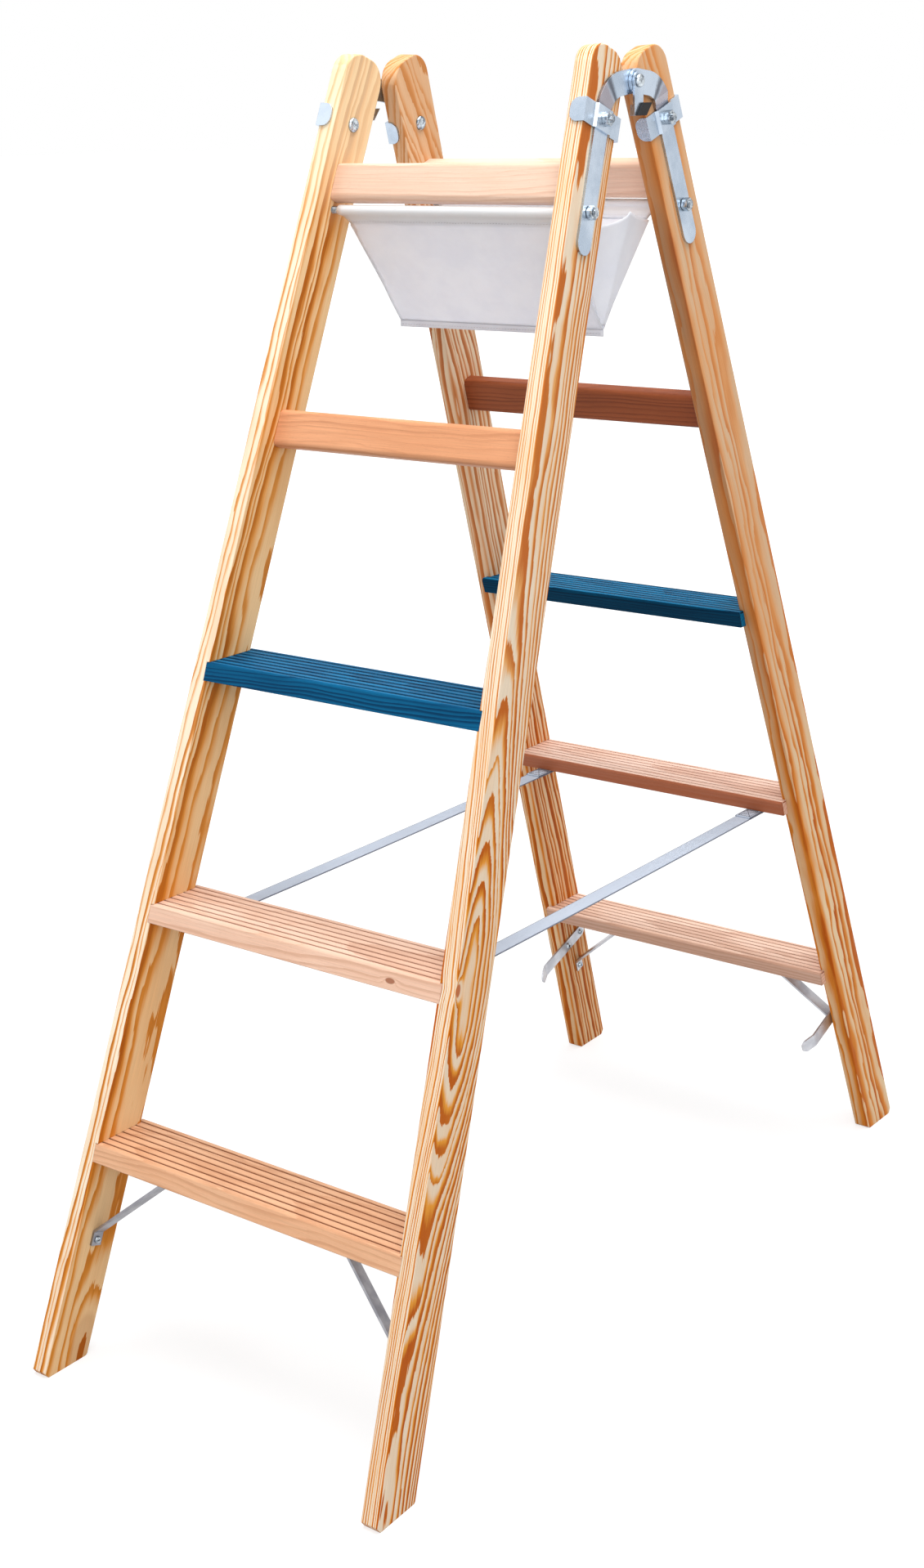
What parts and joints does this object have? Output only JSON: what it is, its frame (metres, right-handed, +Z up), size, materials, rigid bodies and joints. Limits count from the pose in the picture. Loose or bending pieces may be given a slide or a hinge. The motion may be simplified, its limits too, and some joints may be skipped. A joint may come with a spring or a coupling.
{
  "type": "stepladder",
  "caption": "Wooden double-sided stepladder with grooved steps and flat rungs, steel top hinges, webbing straps between the halves and a tool bag hung under the top.",
  "frame": {"origin": "on the floor, midway between the four feet, under the hinge line, with the ladder standing open", "axes": "+X along the steps, +Y from the front half to the rear half, +Z up"},
  "size_m": [0.5038, 1.1776, 1.4371],
  "materials": {
    "pine": "clear satin lacquer over bold growth rings",
    "beech": "clear satin lacquer",
    "blue_beech": "blue translucent stain under satin lacquer",
    "zinc_steel": "bright zinc plate",
    "aluminium": "plain mill finish",
    "coated_fabric": "smooth white coating",
    "webbing": "tightly woven, light grey with dark edges",
    "black_plastic": "matt black"
  },
  "bodies": {
    "front_half": {"front_brace_left": "aluminium", "front_brace_right": "aluminium", "front_brace_screws": "zinc_steel", "front_clamp_bolts": "zinc_steel", "front_clamp_left": "zinc_steel", "front_clamp_nuts": "zinc_steel", "front_clamp_right": "zinc_steel", "front_hinge_arm_left": "zinc_steel", "front_hinge_arm_right": "zinc_steel", "front_rod_nuts": "zinc_steel", "front_rung_lower": "beech", "front_rung_upper": "beech", "front_step_blue": "blue_beech", "front_step_low": "beech", "front_step_middle": "beech", "front_stile_left": "pine", "front_stile_right": "pine", "front_strap_plates": "zinc_steel", "front_strap_screws": "zinc_steel", "front_tie_rod": "zinc_steel", "pivot_rivets": "zinc_steel", "strap_left": "webbing", "strap_right": "webbing"},
    "rear_half": {"closing_guide_left": "zinc_steel", "closing_guide_right": "zinc_steel", "guide_screws": "zinc_steel", "rear_brace_left": "aluminium", "rear_brace_right": "aluminium", "rear_brace_screws": "zinc_steel", "rear_clamp_bolts": "zinc_steel", "rear_clamp_left": "zinc_steel", "rear_clamp_nuts": "zinc_steel", "rear_clamp_right": "zinc_steel", "rear_hinge_arm_left": "zinc_steel", "rear_hinge_arm_right": "zinc_steel", "rear_rod_nuts": "zinc_steel", "rear_rung_lower": "beech", "rear_rung_upper": "beech", "rear_step_blue": "blue_beech", "rear_step_low": "beech", "rear_step_middle": "beech", "rear_stile_left": "pine", "rear_stile_right": "pine", "rear_strap_plates": "zinc_steel", "rear_strap_screws": "zinc_steel", "rear_tie_rod": "zinc_steel"},
    "bag_front": {"bag_front_panel": "coated_fabric", "bag_gusset_left": "coated_fabric", "bag_gusset_right": "coated_fabric"},
    "bag_rear": {"bag_rear_panel": "coated_fabric"},
    "latch_left": {"latch_grip_left": "black_plastic", "latch_lever_left": "zinc_steel"},
    "latch_right": {"latch_grip_right": "black_plastic", "latch_lever_right": "zinc_steel"}
  },
  "joints": [
    {"name": "fold", "type": "hinge", "parent": "front_half", "child": "rear_half", "pos_m": [0, 0, 1.40013], "axis": [-1, 0, 0], "range_deg": [0, 40], "deforming": ["strap_left", "strap_right"]},
    {"name": "bag_front_swing", "type": "hinge", "parent": "front_half", "child": "bag_front", "pos_m": [0, -0.09493, 1.2708], "axis": [-1, 0, 0], "range_deg": [0, 40]},
    {"name": "bag_crease", "type": "hinge", "parent": "bag_front", "child": "bag_rear", "pos_m": [0, 0, 1.14147], "axis": [-1, 0, 0], "range_deg": [-40, 0], "deforming": ["bag_gusset_left", "bag_gusset_right"]},
    {"name": "latch_swing_left", "type": "hinge", "parent": "front_half", "child": "latch_left", "pos_m": [-0.18, 0, 1.40013], "axis": [1, 0, 0], "range_deg": [-20, 20]},
    {"name": "latch_swing_right", "type": "hinge", "parent": "front_half", "child": "latch_right", "pos_m": [0.18, 0, 1.40013], "axis": [1, 0, 0], "range_deg": [-20, 20]}
  ],
  "couplings": [
    {"joint": "bag_front_swing", "follows": "fold", "ratio": 1},
    {"joint": "bag_crease", "follows": "fold", "ratio": -1}
  ]
}
